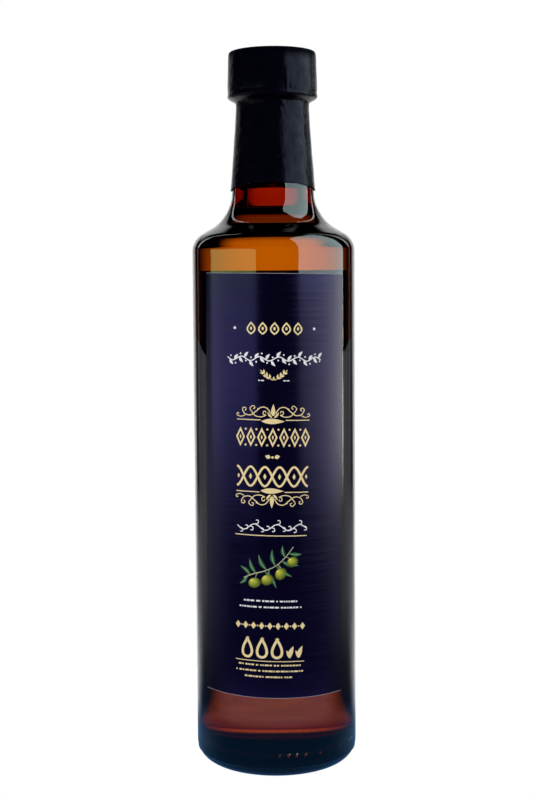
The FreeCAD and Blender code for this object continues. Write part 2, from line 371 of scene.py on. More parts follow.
def ellipse(centre, half_width, half_height, turn=0.0, steps=18):
    """Outline of an ellipse, turned by some degrees."""
    turned = Matrix.Rotation(math.radians(turn), 2)
    return [Vector(centre) + turned @ Vector((half_width * math.cos(FULL_TURN * s / steps),
                                              half_height * math.sin(FULL_TURN * s / steps)))
            for s in range(steps)]


def lozenge(centre, half_width, half_height):
    """Outline of a lozenge."""
    across, up = centre
    return [Vector((across + half_width, up)), Vector((across, up + half_height)),
            Vector((across - half_width, up)), Vector((across, up - half_height))]


def leaf_outline(base, tip, width, steps=7, lean=0.0):
    """Outline of a pointed leaf from its base to its tip. lean bends it to the left of its way."""
    base = Vector(base)
    along = Vector(tip) - base
    aside = Vector((-along.y, along.x)).normalized()
    spine = [base + along * (s / steps) + aside * lean * math.sin(math.pi * s / steps)
             for s in range(steps + 1)]
    half = [width / 2 * math.sin(math.pi * (s / steps) ** 0.85) for s in range(steps + 1)]
    left = [p + aside * h for p, h in zip(spine, half)]
    right = [p - aside * h for p, h in zip(spine, half)]
    return left[:-1] + [spine[-1]] + right[-2:0:-1]


def drop_outline(foot, width, height, steps=20):
    """Outline of a drop that stands on its round end."""
    points = []
    for s in range(steps):
        t = FULL_TURN * s / steps
        across = width / 2 * math.sin(t) * math.sin(t / 2) ** 1.2 * 1.25
        points.append(Vector((foot[0] + across, foot[1] + height / 2 * (1 + math.cos(t)))))
    return points


def dashes(bm, up, width, height, seed, centre=0.0):
    """A row of short dashes, uneven as a line of small print is."""
    draw = random.Random(seed)
    across = centre - width / 2
    while across < centre + width / 2 - 0.4:
        length = min(draw.choice((0.55, 0.8, 1.1, 1.5)), centre + width / 2 - across)
        patch(bm, [(across, up - height / 2), (across + length, up - height / 2),
                   (across + length, up + height / 2), (across, up + height / 2)])
        across += length + draw.choice((0.32, 0.32, 0.32, 0.75))


def draw_scrollwork(bm, foot, flip=1):
    """Scrolled ornament over a rule, as on old labels. flip = -1 draws it hanging from its rule."""
    def at(points):
        return [Vector((p[0], foot + flip * p[1])) for p in points]

    halves = [
        ([(4.6 + step, 0.55) for step in range(10)], 0.34),
        (smooth_line([(0.9, 3.0), (2.3, 4.9), (4.4, 5.2), (6.3, 3.7), (8.3, 2.3), (10.4, 2.6),
                      (11.4, 3.8)]) + spiral((10.6, 4.3), 0.95, 0.3, -35, 300), 0.36),
        (spiral((3.0, 3.3), 0.25, 1.0, 200, -330)[:-1]
         + smooth_line([(2.6, 2.3), (4.4, 1.7), (6.4, 2.0), (7.6, 3.2)]), 0.34),
        (smooth_line([(7.6, 3.2), (8.6, 4.6), (8.0, 5.5)]) + spiral((7.3, 5.0), 0.8, 0.3, 40, 250), 0.32),
        (smooth_line([(10.4, 2.2), (12.0, 1.6), (13.4, 1.9)]) + spiral((13.2, 2.5), 0.6, 0.25, -60, 260),
         0.30),
    ]
    for points, width in halves:
        stroke(bm, at(points), width)
        stroke(bm, at(mirrored(points)), width)
    patch(bm, at(leaf_outline((-4.3, 0.1), (4.3, 0.1), 2.0, steps=10)))
    patch(bm, at(drop_outline((0, 2.1), 1.7, 4.4)))
    for side in (-1, 1):
        patch(bm, at(leaf_outline((side * 0.3, 1.4), (side * 2.1, 3.5), 0.8, lean=-0.2 * side)))
        patch(bm, at(ellipse((side * 5.6, 4.6), 0.28, 0.28, steps=10)))


def draw_gold(bm):
    """All that is printed in gold: bands of ornament in place of any wording."""
    for index in range(5):
        centre = (4.3 * (index - 2), 137.0)
        ring(bm, leaf_outline((centre[0], 134.7), (centre[0], 139.4), 3.4, steps=9), 0.55)
        patch(bm, ellipse(centre, 0.42, 0.62, steps=10))
    for side in (-1, 1):
        stalk = smooth_line([(side * 0.3, 118.2), (side * 2.4, 119.6), (side * 4.9, 121.9)])
        stroke(bm, stalk, 0.3)
        for along, up in ((1.3, 118.9), (2.4, 119.6), (3.5, 120.6)):
            patch(bm, leaf_outline((side * along, up), (side * (along + 1.6), up + 0.3), 0.75))
            patch(bm, leaf_outline((side * along, up), (side * (along + 0.2), up + 1.6), 0.75))
    patch(bm, lozenge((0, 118.9), 0.45, 0.7))
    draw_scrollwork(bm, 103.1)
    for index in range(7):
        across = 4.05 * (index - 3)
        ring(bm, lozenge((across, 97.3), 1.75, 3.6), 0.6)
        patch(bm, lozenge((across, 97.3), 0.38, 0.9))
    for index in range(6):
        across = 4.05 * (index - 2.5)
        for up in (94.4, 100.2):
            patch(bm, ellipse((across, up), 0.4, 0.4, steps=10))
    for side in (-1, 1):
        patch(bm, leaf_outline((side * 0.7, 89.9), (side * 2.7, 90.5), 1.5))
    patch(bm, ellipse((0, 90.0), 0.45, 0.45, steps=10))
    for phase in (0, math.pi):
        wave = [(13.4 * (s / 30 - 1), 82.85 + 3.55 * math.sin(2.5 * math.pi * (s / 30 - 1) + phase))
                for s in range(61)]
        stroke(bm, wave, 0.8)
    for index in range(4):
        patch(bm, lozenge((5.36 * (index - 1.5), 82.85), 0.6, 1.15))
    for side in (-1, 1):
        patch(bm, lozenge((side * 12.7, 82.85), 0.5, 0.9))
    draw_scrollwork(bm, 77.7, flip=-1)
    stroke(bm, [(s - 13.8, 61.0) for s in range(28)], 0.34)
    for index in range(9):
        across = 3.05 * (index - 4)
        patch(bm, lozenge((across, 27.3), 1.0, 1.35))
        if index:
            patch(bm, ellipse((across - 1.52, 27.3), 0.3, 0.3, steps=8))
    for index in range(3):
        drop = drop_outline((-8.4 + 5.6 * index, 14.9), 5.0, 8.2)
        ring(bm, drop, 0.95)
    for index in range(2):
        across = 7.5 + 3.4 * index
        patch(bm, leaf_outline((across, 15.2), (across + 1.4, 19.8), 1.7, lean=0.3))
        patch(bm, leaf_outline((across, 15.2), (across - 1.3, 18.2), 1.2, lean=-0.2))
    stroke(bm, [(s - 13.0, 14.0) for s in range(27)], 0.3)
    dashes(bm, 12.5, 23.5, 0.6, 5)
    dashes(bm, 10.3, 25.5, 0.6, 6)
    dashes(bm, 8.1, 18.5, 0.6, 7)


def draw_white(bm):
    """All that is printed in white."""
    for side in (-1, 1):
        patch(bm, ellipse((side * 15.0, 137.0), 0.52, 0.52, steps=12))
        dashes(bm, 118.1, 2.2, 0.4, 3, centre=side * 4.6)
    garland = [(across, 126.0 + 0.75 * math.sin(across * 0.9)) for across in range(-18, 19)]
    stroke(bm, smooth_line(garland, 2), 0.4)
    for across in range(-17, 18, 2):
        up = 126.0 + 0.75 * math.sin(across * 0.9)
        way = 1 if across % 4 == 1 else -1
        patch(bm, leaf_outline((across, up), (across + 1.5, up + way * 2.1), 1.05, lean=0.2 * way))
        patch(bm, ellipse((across + 0.5, up - way * 1.15), 0.33, 0.33, steps=8))
    vine = [(across, 64.1 + 1.1 * math.sin(across * 0.75)) for across in range(-13, 14)]
    stroke(bm, smooth_line(vine, 3), 0.36)
    for index, across in enumerate(range(-12, 14, 2)):
        up = 64.1 + 1.1 * math.sin(across * 0.75)
        way = 1 if index % 2 else -1
        stem = spiral((across + 0.5, up + way * 1.1), 1.1, 0.3, -120 * way, 250 * way, steps=12)
        stroke(bm, stem, 0.34)
    dashes(bm, 36.6, 20.0, 0.6, 1)
    dashes(bm, 34.3, 23.3, 0.6, 2)


def draw_sprig(bm, ink):
    """An olive sprig: leaves with a pale rib, a stem over them, and olives shaded on top."""
    def paint(faces, colour, height):
        for face in faces:
            for loop in face.loops:
                loop[ink] = linear(colour)
            for vert in face.verts:
                vert.co.z = height

    def leaf(base, tip, width, lean):
        whole = leaf_outline(base, tip, width, steps=8, lean=lean)
        rib = leaf_outline(base, tip, 0.28, steps=8, lean=lean)
        paint([patch(bm, whole)], "1C4A2A", 0.0)
        half = len(whole) // 2
        paint([patch(bm, whole[:half + 1] + rib[half - 1:0:-1])], "2F6A3A", 0.008)
        paint([patch(bm, rib)], "8FAE86", 0.012)

    def olive(centre, half_width, half_height, turn):
        shades = ("55601A", "76821F", "929B26", "AAAE34", "C2C04A", "DED98A")
        for index, shade in enumerate(shades):
            share = 1 - 0.17 * index
            middle = (centre[0] - 0.10 * index * half_width, centre[1] + 0.09 * index * half_height)
            rim = ellipse(middle, half_width * share, half_height * share, turn, steps=20)
            paint([patch(bm, rim)], shade, 0.018 + 0.003 * index)

    leaves = [
        ((-8.8, 45.6), (-11.8, 42.6), 1.5, 0.4), ((-7.6, 46.0), (-11.6, 49.2), 1.5, -0.5),
        ((-5.4, 46.9), (-8.0, 52.2), 1.6, 0.5), ((-1.4, 48.2), (-4.6, 54.0), 1.7, 0.6),
        ((1.6, 49.8), (0.4, 56.0), 1.6, 0.5), ((3.9, 51.6), (10.4, 50.0), 1.7, -0.6),
        ((5.2, 53.0), (4.2, 57.6), 1.4, 0.4), ((6.6, 54.5), (11.6, 54.2), 1.5, -0.4),
        ((1.9, 50.0), (8.0, 45.8), 1.7, -0.6), ((-2.2, 47.8), (2.2, 41.4), 1.6, 0.5),
    ]
    for base, tip, width, lean in leaves:
        leaf(base, tip, width, lean)
    stem = smooth_line([(-10.2, 44.9), (-6.5, 46.6), (-2.2, 47.9), (2.0, 50.0), (5.6, 53.4), (8.2, 56.9)])
    twigs = [smooth_line([(-4.9, 47.0), (-5.4, 46.0), (-5.6, 44.8)]),
             smooth_line([(-0.9, 48.4), (-0.6, 47.4), (-0.9, 46.2)]),
             smooth_line([(2.6, 50.3), (3.4, 49.6), (3.6, 48.4)]),
             smooth_line([(5.4, 53.2), (6.4, 52.9), (7.2, 52.2)])]
    for line, width in [(stem, 0.44)] + [(twig, 0.26) for twig in twigs]:
        before = set(bm.faces)
        stroke(bm, line, width, taper=0.3)
        paint([face for face in bm.faces if face not in before], "A9AF8A", 0.015)
    for centre, half_width, half_height, turn in (
            ((-6.0, 43.3), 2.35, 1.9, 15), ((-1.2, 44.6), 2.4, 1.95, 30), ((3.7, 46.9), 2.4, 1.95, 55),
            ((8.0, 51.4), 2.1, 1.75, 25)):
        olive(centre, half_width, half_height, turn)


def finish_print(bm, name, materials, on="front"):
    """Give flat ink its thickness, wrap it on its label and make it a piece."""
    bmesh.ops.triangulate(bm, faces=[f for f in bm.faces if len(f.verts) > 4])
    for face in bm.faces:
        if face.normal.z < 0:
            face.normal_flip()
    top = bmesh.ops.extrude_face_region(bm, geom=bm.faces[:])["geom"]
    raised = [item for item in top if isinstance(item, bmesh.types.BMVert)]
    bmesh.ops.translate(bm, vec=(0, 0, INK_RISE), verts=raised)
    bmesh.ops.recalc_face_normals(bm, faces=bm.faces)
    bmesh.ops.translate(bm, vec=(0, -PRINT_MIDDLE, LABEL_STAND_OFF + LABEL_THICK), verts=bm.verts)
    middle = LABEL_FOOT + PRINT_MIDDLE
    if on == "front":
        wrap(bm, middle, PRINT_SHIFT, PRINT_TILT)
    else:
        wrap(bm, middle, behind=True)
    return finish_piece(bm, name, materials, smooth_below=20)


def make_front_print(gold, white, inks):
    """The front: gold and white ornament, and the sprig in its own coloured inks."""
    for name, draw, material in (("front_print_gold", draw_gold, gold),
                                 ("front_print_white", draw_white, white)):
        bm = bmesh.new()
        draw(bm)
        finish_print(bm, name, [material])
    bm = bmesh.new()
    ink = bm.loops.layers.float_color.new("ink")
    draw_sprig(bm, ink)
    finish_print(bm, "front_print_sprig", [inks])


def make_back_print(gold, white):
    """The back: a plain gold frame with a row of lozenges, over rows of fine white dashes."""
    bm = bmesh.new()
    for inset, width in ((2.5, 0.5), (3.6, 0.25)):
        left, right = -27.5 + inset, 27.5 - inset
        foot, head = 2.5 + inset, 154.0 - inset
        for up in (foot, head):
            stroke(bm, [(left + (right - left) * step / 40, up) for step in range(41)], width)
        stroke(bm, [(left, foot + width), (left, head - width)], width)
        stroke(bm, [(right, foot + width), (right, head - width)], width)
    for index in range(9):
        patch(bm, lozenge((4.4 * (index - 4), 138.0), 1.3, 2.6))
    for index in range(5):
        patch(bm, lozenge((4.4 * (index - 2), 18.0), 1.0, 1.8))
    for up in (130.0, 26.0):
        stroke(bm, [(1.2 * step - 18.0, up) for step in range(31)], 0.4)
    finish_print(bm, "back_print_gold", [gold], on="back")
    bm = bmesh.new()
    for row in range(20):
        dashes(bm, 122.0 - 4.4 * row, 36.0 - 5.0 * (row % 5 == 4), 0.9, 40 + row)
    finish_print(bm, "back_print_white", [white], on="back")


# ---------------------------------------------------------------- shrink sleeve

def make_cap(material):
    """The cap under the film: its skirt and top, with a soft top edge, sitting on the lip."""
    foot = node_box("cap")[0].z
    inner_r = 12.8
    foot_r = 16.45
    bulge_r = 16.5
    bulge_height = 266.0
    top_r = 16.05
    top = 271.45
    bm = bmesh.new()
    draw_profile(bm, [
        (0, LIP, 0),
        (inner_r, LIP, 0),
        (inner_r, foot, 0),
        (foot_r, foot, 0.6),
        (bulge_r, bulge_height, 40),
        (top_r, top, 1.2),
        (0, top, 0),
    ])
    spin_profile(bm, 192)
    cap = finish_piece(bm, "screw_cap", [material])
    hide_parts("cap")


# Outside radius of the shrunk film, read downward: (radius, height).
SLEEVE_OUTLINE = [
    (12.4, 271.55), (13.4, 271.75), (15.2, 271.8), (16.1, 271.75), (16.5, 271.0), (16.7, 269.0),
    (16.8, 266.0), (16.88, 263.0), (16.98, 260.0), (16.94, 257.6), (16.88, 256.6), (17.02, 255.5),
    (16.95, 254.9), (16.34, 254.3), (15.05, 253.6), (14.05, 252.9), (13.9, 252.0), (13.88, 250.6),
    (14.08, 246.5), (14.28, 242.8), (14.62, 239.0), (14.86, 235.0), (15.14, 231.5), (15.46, 227.7),
    (15.72, 223.9), (16.05, 219.8),
]


def film_dent(angle, height):
    """How far the film stands in or out at a place: creases, pleats and the waves of shrinking."""
    def hump(centre, half, value):
        return math.exp(-((value - centre) / half) ** 2)

    degrees = math.degrees(angle)
    waves = noise.noise(Vector((math.cos(angle) * 2.2, math.sin(angle) * 2.2, height / 9)))
    ripple = noise.noise(Vector((math.cos(angle) * 9, math.sin(angle) * 9, height / 2.2)))
    skew = noise.noise(Vector((math.cos(angle) * 5, math.sin(angle) * 5, height / 5 + 40)))
    out = 0.05 * waves + 0.018 * ripple + 0.03 * skew
    out += 0.18 * hump(19, 1.6, degrees) * hump(258.5, 3.2, height)
    out -= 0.14 * hump(22, 1.8, degrees) * hump(258.0, 2.6, height)
    ridge = 256.9 + 0.25 * math.sin(degrees / 9)
    out += 0.2 * hump(44, 24, degrees) * hump(ridge, 0.45, height)
    for across, up, size in ((15, 251.6, 1.0), (19, 250.6, 0.8), (12, 249.6, 0.6), (24, 251.2, 0.7)):
        out += 0.34 * hump(across, 3.0, degrees) * hump(up, size * 0.55, height)
    fold = 249.4 - (degrees - 18) / 14
    out += 0.2 * hump(32, 14, degrees) * hump(fold, 0.4, height)
    for side in (-90, 90):
        out += 0.07 * hump(side, 2.0, degrees) * hump(236, 18, height)
    return out


def make_sleeve(material):
    """The shrink sleeve over the cap and the neck: its foot hangs lowest at the two lay-flat folds."""
    film = 0.16
    neck_gap = 0.2
    cap_foot = 253.0
    fold_line = 246.0
    tip = 219.8
    front_rise = 2.5
    back_rise = 1.4
    bm = bmesh.new()
    line = smooth_line(SLEEVE_OUTLINE, per_span=4)
    verts = [bm.verts.new((radius, 0, height)) for radius, height in line]
    for pair in zip(verts, verts[1:]):
        bm.edges.new(pair)
    bmesh.ops.spin(bm, geom=bm.verts[:] + bm.edges[:], cent=(0, 0, 0), axis=(0, 0, 1),
                   angle=FULL_TURN, steps=240, use_merge=True)
    for vert in bm.verts:
        angle = math.atan2(vert.co.x, -vert.co.y)
        radius = vert.co.xy.length
        height = vert.co.z
        if radius > 13.6:
            radius += film_dent(angle, height)
        if height < fold_line:
            down = (fold_line - height) / (fold_line - tip)
            rise = front_rise if math.cos(angle) > 0 else back_rise
            edge = tip + rise * abs(math.cos(angle)) ** 0.8
            edge += 0.12 * noise.noise(Vector((angle * 4, 0, 7)))
            height = fold_line - down * (fold_line - edge)
            flare = 0.1 * down ** 8 * abs(math.sin(angle)) ** 6
            radius = max(radius, neck_radius(height) + neck_gap) + flare
        elif height < cap_foot:
            radius = max(radius, neck_radius(height) + neck_gap)
        vert.co = (radius * math.sin(angle), -radius * math.cos(angle), height)
    bmesh.ops.recalc_face_normals(bm, faces=bm.faces)
    sample = max(bm.faces, key=lambda face: face.calc_center_median().xy.length)
    if sample.normal.xy.dot(sample.calc_center_median().xy) < 0:
        bmesh.ops.reverse_faces(bm, faces=bm.faces)
    bmesh.ops.solidify(bm, geom=bm.faces[:], thickness=film)
    sleeve = finish_piece(bm, "shrink_sleeve", [material], smooth_below=60)
    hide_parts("sleeve")
    return sleeve


# ---------------------------------------------------------------- materials

SMOOTH = {"interpolation_type": "SMOOTHSTEP"}
MULTIPLY = {"operation": "MULTIPLY"}
MAXIMUM = {"operation": "MAXIMUM"}
COLOURS = {"data_type": "RGBA"}
GRAIN = {"Detail": 3.0, "Roughness": 0.55}  # soft grain with a few finer lumps on its lumps
GRAIN_MIDDLE = {"From Min": 0.3, "From Max": 0.7}  # where most of a grain's values lie


def per_metre(lump):
    """How many lumps of a width in millimetres go to a metre, which is the scale of a pattern."""
    return 1 / (lump * MM)


def clear_material(name, ior, colour, density, reflection, waves, studs=()):
    """A clear, smooth body: colour and density say what a metre of it takes from the light, and
    reflection how much of its surface reflection is left where it touches another clear body.
    waves is the depth in metres of its slow surface waves, and studs are small raised dots on it:
    their places and radii in metres."""
    stud_rise = 0.0006
    material, tree = new_material(name)
    place = add_node(tree, "ShaderNodeTexCoord").outputs["Object"]
    drawn_up = add_node(tree, "ShaderNodeVectorMath", MULTIPLY, {0: place, 1: (1, 1, 0.45)})
    swell = add_node(tree, "ShaderNodeTexNoise", inputs={
        **GRAIN, "Vector": drawn_up, "Scale": per_metre(22.2), "Detail": 1.0,
    })
    normal = add_node(tree, "ShaderNodeBump", inputs={"Height": swell, "Distance": waves})
    height = None
    for where, radius in studs:
        away = add_node(tree, "ShaderNodeVectorMath", {"operation": "DISTANCE"}, {0: place, 1: where})
        stud = add_node(tree, "ShaderNodeMapRange", SMOOTH, {
            "Value": away, "From Min": radius, "From Max": radius * 0.35,
        })
        if height:
            height = add_node(tree, "ShaderNodeMath", MAXIMUM, {0: height, 1: stud})
        else:
            height = stud
    if height:
        normal = add_node(tree, "ShaderNodeBump", inputs={
            "Height": height, "Distance": stud_rise, "Normal": normal,
        })
    surface = add_node(tree, "ShaderNodeBsdfPrincipled", inputs={
        "Base Color": (1, 1, 1, 1),
        "Roughness": 0.0,
        "IOR": ior,
        "Specular Tint": (reflection, reflection, reflection, 1),
        "Transmission Weight": 1.0,
        "Normal": normal,
    })
    depth = add_node(tree, "ShaderNodeVolumeAbsorption", inputs={"Color": colour, "Density": density})
    add_node(tree, "ShaderNodeOutputMaterial", inputs={"Surface": surface, "Volume": depth})
    return material


def amber_glass():
    """Blown soda-lime container glass, fire polished and dark amber: white light comes through deep
    orange, and redder where the wall is thick. Slow waves bend the edges of what it mirrors a
    little, and the heel has a row of small moulded dots."""
    row = [(degrees, 9.8, 0.7) for degrees in (1.8, 8.2, 14.0, 20.7, 31.9, 49.8, 62.6, 67.7, 77.2)]
    below_row = (40.3, 7.9, 0.6)
    studs = []
    for degrees, height, radius in row + [below_row]:
        angle = math.radians(degrees)
        where = Vector((BODY_R * math.sin(angle), -BODY_R * math.cos(angle), height))
        studs.append((where * MM, radius * MM))
    return clear_material("blown_amber_glass", 1.52, (0.921, 0.70, 0.0, 1), 1400.0, 1.0, 0.00004, studs)


def olive_oil():
    """Clear olive oil, pale green gold. It wets the glass, so it doesn't mirror anything there, and
    it follows the slow waves of the wall."""
    return clear_material("clear_olive_oil", 1.50, (0.985, 0.975, 0.0, 1), 20.0, 0.0, 0.00002)


def label_paper():
    """Coated label paper, printed dark blue. Level grain lines from the varnish roller break up the
    sheen, and the blue is a little uneven, as solid ink is. The real lines are finer, and they are
    drawn this coarse so that they show."""
    material, tree = new_material("satin_label_paper")
    place = add_node(tree, "ShaderNodeTexCoord").outputs["Object"]
    drawn_level = add_node(tree, "ShaderNodeVectorMath", MULTIPLY, {0: place, 1: (0.03, 0.03, 1)})
    lines = add_node(tree, "ShaderNodeTexNoise", inputs={
        **GRAIN, "Vector": drawn_level, "Scale": per_metre(0.667), "Detail": 4.0,
    })
    blotches = add_node(tree, "ShaderNodeTexNoise", inputs={
        **GRAIN, "Vector": place, "Scale": per_metre(8.33),
    })
    blue = add_node(tree, "ShaderNodeMix", COLOURS, {
        0: blotches, 6: linear("02010C"), 7: linear("050318"),
    })
    sheen = add_node(tree, "ShaderNodeMapRange", inputs={
        **GRAIN_MIDDLE, "Value": lines, "To Min": 0.16, "To Max": 0.26,
    })
    gloss = add_node(tree, "ShaderNodeMapRange", inputs={
        **GRAIN_MIDDLE, "Value": lines, "To Min": 0.42, "To Max": 0.58,
    })
    ridges = add_node(tree, "ShaderNodeBump", inputs={"Height": lines, "Distance": 0.000004})
    surface = add_node(tree, "ShaderNodeBsdfPrincipled", inputs={
        "Base Color": blue,
        "Roughness": sheen,
        "Specular IOR Level": gloss,
        "Specular Tint": (0.42, 0.38, 1, 1),
        "Normal": ridges,
    })
    add_node(tree, "ShaderNodeOutputMaterial", inputs={"Surface": surface})
    return material


def paper_core():
    """The cut edge of the label: pale paper fibres with a breath of the blue ink. They are drawn
    coarser than real fibres so that they show."""
    material, tree = new_material("paper_core")
    place = add_node(tree, "ShaderNodeTexCoord").outputs["Object"]
    fibres = add_node(tree, "ShaderNodeTexNoise", inputs={
        **GRAIN, "Vector": place, "Scale": per_metre(0.556),
    })
    pale = add_node(tree, "ShaderNodeMix", COLOURS, {
        0: fibres, 6: linear("6E6478"), 7: linear("B4A8B4"),
    })
    surface = add_node(tree, "ShaderNodeBsdfPrincipled", inputs={"Base Color": pale, "Roughness": 0.8})
    add_node(tree, "ShaderNodeOutputMaterial", inputs={"Surface": surface})
    return material


def label_reverse():
    """The glued side of the label, painted near black as painted shade for the dark inside of the bottle,
    with the mottle of its glue.
    """
    material, tree = new_material("label_reverse")
    place = add_node(tree, "ShaderNodeTexCoord").outputs["Object"]
    glue = add_node(tree, "ShaderNodeTexNoise", inputs={
        **GRAIN, "Vector": place, "Scale": per_metre(3.33),
    })
    # Painted shade: the near-black colour stands for the dark inside of the bottle that the glued side
    # faces.
    dark = add_node(tree, "ShaderNodeMix", COLOURS, {
        0: glue, 6: linear("050302"), 7: linear("0C0906"),
    })
    sheen = add_node(tree, "ShaderNodeMapRange", inputs={
        **GRAIN_MIDDLE, "Value": glue, "To Min": 0.6, "To Max": 0.9,
    })
    surface = add_node(tree, "ShaderNodeBsdfPrincipled", inputs={
        "Base Color": dark,
        "Roughness": sheen,
        "Specular IOR Level": 0.2,
    })
    add_node(tree, "ShaderNodeOutputMaterial", inputs={"Surface": surface})
    return material


def printing_ink(name, thin, full, roughness):
    """A light ink on the dark label: it lies a little thinner in the paper's pores, which are drawn
    coarser than they are so that they show."""
    material, tree = new_material(name)
    place = add_node(tree, "ShaderNodeTexCoord").outputs["Object"]
    pores = add_node(tree, "ShaderNodeTexNoise", inputs={
        **GRAIN, "Vector": place, "Scale": per_metre(0.714),
    })
    colour = add_node(tree, "ShaderNodeMix", COLOURS, {
        0: pores, 6: linear(thin), 7: linear(full),
    })
    sheen = add_node(tree, "ShaderNodeMapRange", inputs={
        **GRAIN_MIDDLE, "Value": pores, "To Min": roughness - 0.06, "To Max": roughness + 0.06,
    })
    pits = add_node(tree, "ShaderNodeBump", inputs={"Height": pores, "Distance": 0.000005})
    surface = add_node(tree, "ShaderNodeBsdfPrincipled", inputs={
        "Base Color": colour,
        "Roughness": sheen,
        "Specular IOR Level": 0.3,
        "Normal": pits,
    })
    add_node(tree, "ShaderNodeOutputMaterial", inputs={"Surface": surface})
    return material


def picture_inks(name):
    """The coloured inks of the olive sprig, each patch in its own colour, a little grainy."""
    material, tree = new_material(name)
    place = add_node(tree, "ShaderNodeTexCoord").outputs["Object"]
    colour = add_node(tree, "ShaderNodeAttribute", {"attribute_name": "ink"})
    pores = add_node(tree, "ShaderNodeTexNoise", inputs={
        **GRAIN, "Vector": place, "Scale": per_metre(0.714),
    })
    strength = add_node(tree, "ShaderNodeMapRange", inputs={
        **GRAIN_MIDDLE, "Value": pores, "To Min": 0.82, "To Max": 1.12,
    })
    shade = add_node(tree, "ShaderNodeHueSaturation", inputs={"Color": colour, "Value": strength})
    surface = add_node(tree, "ShaderNodeBsdfPrincipled", inputs={
        "Base Color": shade,
        "Roughness": 0.35,
        "Specular IOR Level": 0.3,
    })
    add_node(tree, "ShaderNodeOutputMaterial", inputs={"Surface": surface})
    return material


def shrink_film():
    """Black shrink film with a satin skin. Fine crumples from the heat break its sheen into flecks,
    it is dull where it is stretched over the cap's top edge, and dust leaves a few pale specks."""
    stretch_foot = (LIP - 2.4) * MM
    stretch_head = (LIP + 0.2) * MM
    material, tree = new_material("satin_shrink_film")
    place = add_node(tree, "ShaderNodeTexCoord").outputs["Object"]
    drawn_up = add_node(tree, "ShaderNodeVectorMath", MULTIPLY, {0: place, 1: (1, 1, 0.7)})
    crumple = add_node(tree, "ShaderNodeTexNoise", inputs={
        **GRAIN, "Vector": drawn_up, "Scale": per_metre(3.85), "Detail": 5.0,
    })
    fine = add_node(tree, "ShaderNodeTexNoise", inputs={
        **GRAIN, "Vector": drawn_up, "Scale": per_metre(0.667),
    })
    specks = add_node(tree, "ShaderNodeTexVoronoi", inputs={"Vector": place, "Scale": per_metre(3.03)})
    dust = add_node(tree, "ShaderNodeMapRange", inputs={
        "Value": specks.outputs["Distance"], "From Min": 0.05, "From Max": 0.03, "To Max": 0.3,
    })
    black = add_node(tree, "ShaderNodeMix", COLOURS, {
        0: dust, 6: linear("02020A"), 7: linear("5A6070"),
    })
    height = add_node(tree, "ShaderNodeSeparateXYZ", inputs={0: place}).outputs["Z"]
    stretched = add_node(tree, "ShaderNodeMapRange", inputs={
        "Value": height, "From Min": stretch_foot, "From Max": stretch_head, "To Min": 1.0, "To Max": 0.08,
    })
    flecks = add_node(tree, "ShaderNodeMapRange", inputs={
        **GRAIN_MIDDLE, "Value": crumple, "To Min": 0.055, "To Max": 0.13,
    })
    gloss = add_node(tree, "ShaderNodeMath", MULTIPLY, {0: flecks, 1: stretched})
    sheen = add_node(tree, "ShaderNodeMapRange", inputs={
        **GRAIN_MIDDLE, "Value": crumple, "To Min": 0.15, "To Max": 0.27,
    })
    folds = add_node(tree, "ShaderNodeBump", inputs={"Height": crumple, "Distance": 0.00035})
    skin = add_node(tree, "ShaderNodeBump", inputs={
        "Height": fine, "Distance": 0.00002, "Normal": folds,
    })
    surface = add_node(tree, "ShaderNodeBsdfPrincipled", inputs={
        "Base Color": black,
        "Roughness": sheen,
        "Specular IOR Level": gloss,
        "Specular Tint": (0.78, 0.68, 1, 1),
        "Normal": skin,
    })
    add_node(tree, "ShaderNodeOutputMaterial", inputs={"Surface": surface})
    return material


def cap_polypropylene():
    """Moulded black cap plastic with a fine spark-eroded texture, under the film."""
    material, tree = new_material("moulded_polypropylene")
    place = add_node(tree, "ShaderNodeTexCoord").outputs["Object"]
    texture = add_node(tree, "ShaderNodeTexNoise", inputs={
        **GRAIN, "Vector": place, "Scale": per_metre(0.4),
    })
    black = add_node(tree, "ShaderNodeMix", COLOURS, {
        0: texture, 6: linear("060608"), 7: linear("0B0B0D"),
    })
    sheen = add_node(tree, "ShaderNodeMapRange", inputs={
        **GRAIN_MIDDLE, "Value": texture, "To Min": 0.35, "To Max": 0.5,
    })
    pits = add_node(tree, "ShaderNodeBump", inputs={"Height": texture, "Distance": 0.00002})
    surface = add_node(tree, "ShaderNodeBsdfPrincipled", inputs={
        "Base Color": black,
        "Roughness": sheen,
        "Normal": pits,
    })
    add_node(tree, "ShaderNodeOutputMaterial", inputs={"Surface": surface})
    return material


# ---------------------------------------------------------------- studio

WHITE = (1, 1, 1, 1)
BLACK = (0, 0, 0, 1)

# Painted light on the table, by the distance in metres from the bottle's axis: a painted shadow in what
# the glass lets through, and painted reflections, blue, white and dark, in what it mirrors.
TABLE_THROUGH_PAINTED_SHADOW = [
    (0.030, BLACK), (0.034, (0.28, 0.28, 0.28, 1)), (0.1, (0.3, 0.3, 0.3, 1)),
    (0.5, (0.3, 0.3, 0.3, 1)), (1.0, WHITE),
]
TABLE_PAINTED_REFLECTION_BEHIND = [
    (0.05, (0.07, 0.12, 0.2, 1)), (0.09, (0.8, 0.86, 1, 1)), (0.14, (0.95, 1, 1, 1)),
    (0.3, (0.5, 0.53, 0.6, 1)), (0.8, BLACK),
]
TABLE_PAINTED_REFLECTION_BESIDE = [
    (0.03, (0.05, 0.14, 0.3, 1)), (0.05, (0.1, 0.24, 0.45, 1)), (0.1, (0.03, 0.05, 0.12, 1)),
    (0.16, (0.08, 0.09, 0.12, 1)), (0.3, (0.3, 0.3, 0.34, 1)), (0.6, (0.42, 0.42, 0.46, 1)),
]
TABLE_PAINTED_REFLECTION_BEFORE = [
    (0.028, (0.04, 0.16, 0.38, 1)), (0.035, (0.04, 0.16, 0.38, 1)), (0.045, (0.03, 0.14, 0.34, 1)),
    (0.085, (0.03, 0.14, 0.34, 1)), (0.095, (0.45, 0.36, 0.75, 1)), (0.13, (0.4, 0.33, 0.7, 1)),
    (0.15, (0.05, 0.08, 0.2, 1)), (0.2, (0.05, 0.05, 0.15, 1)),
]


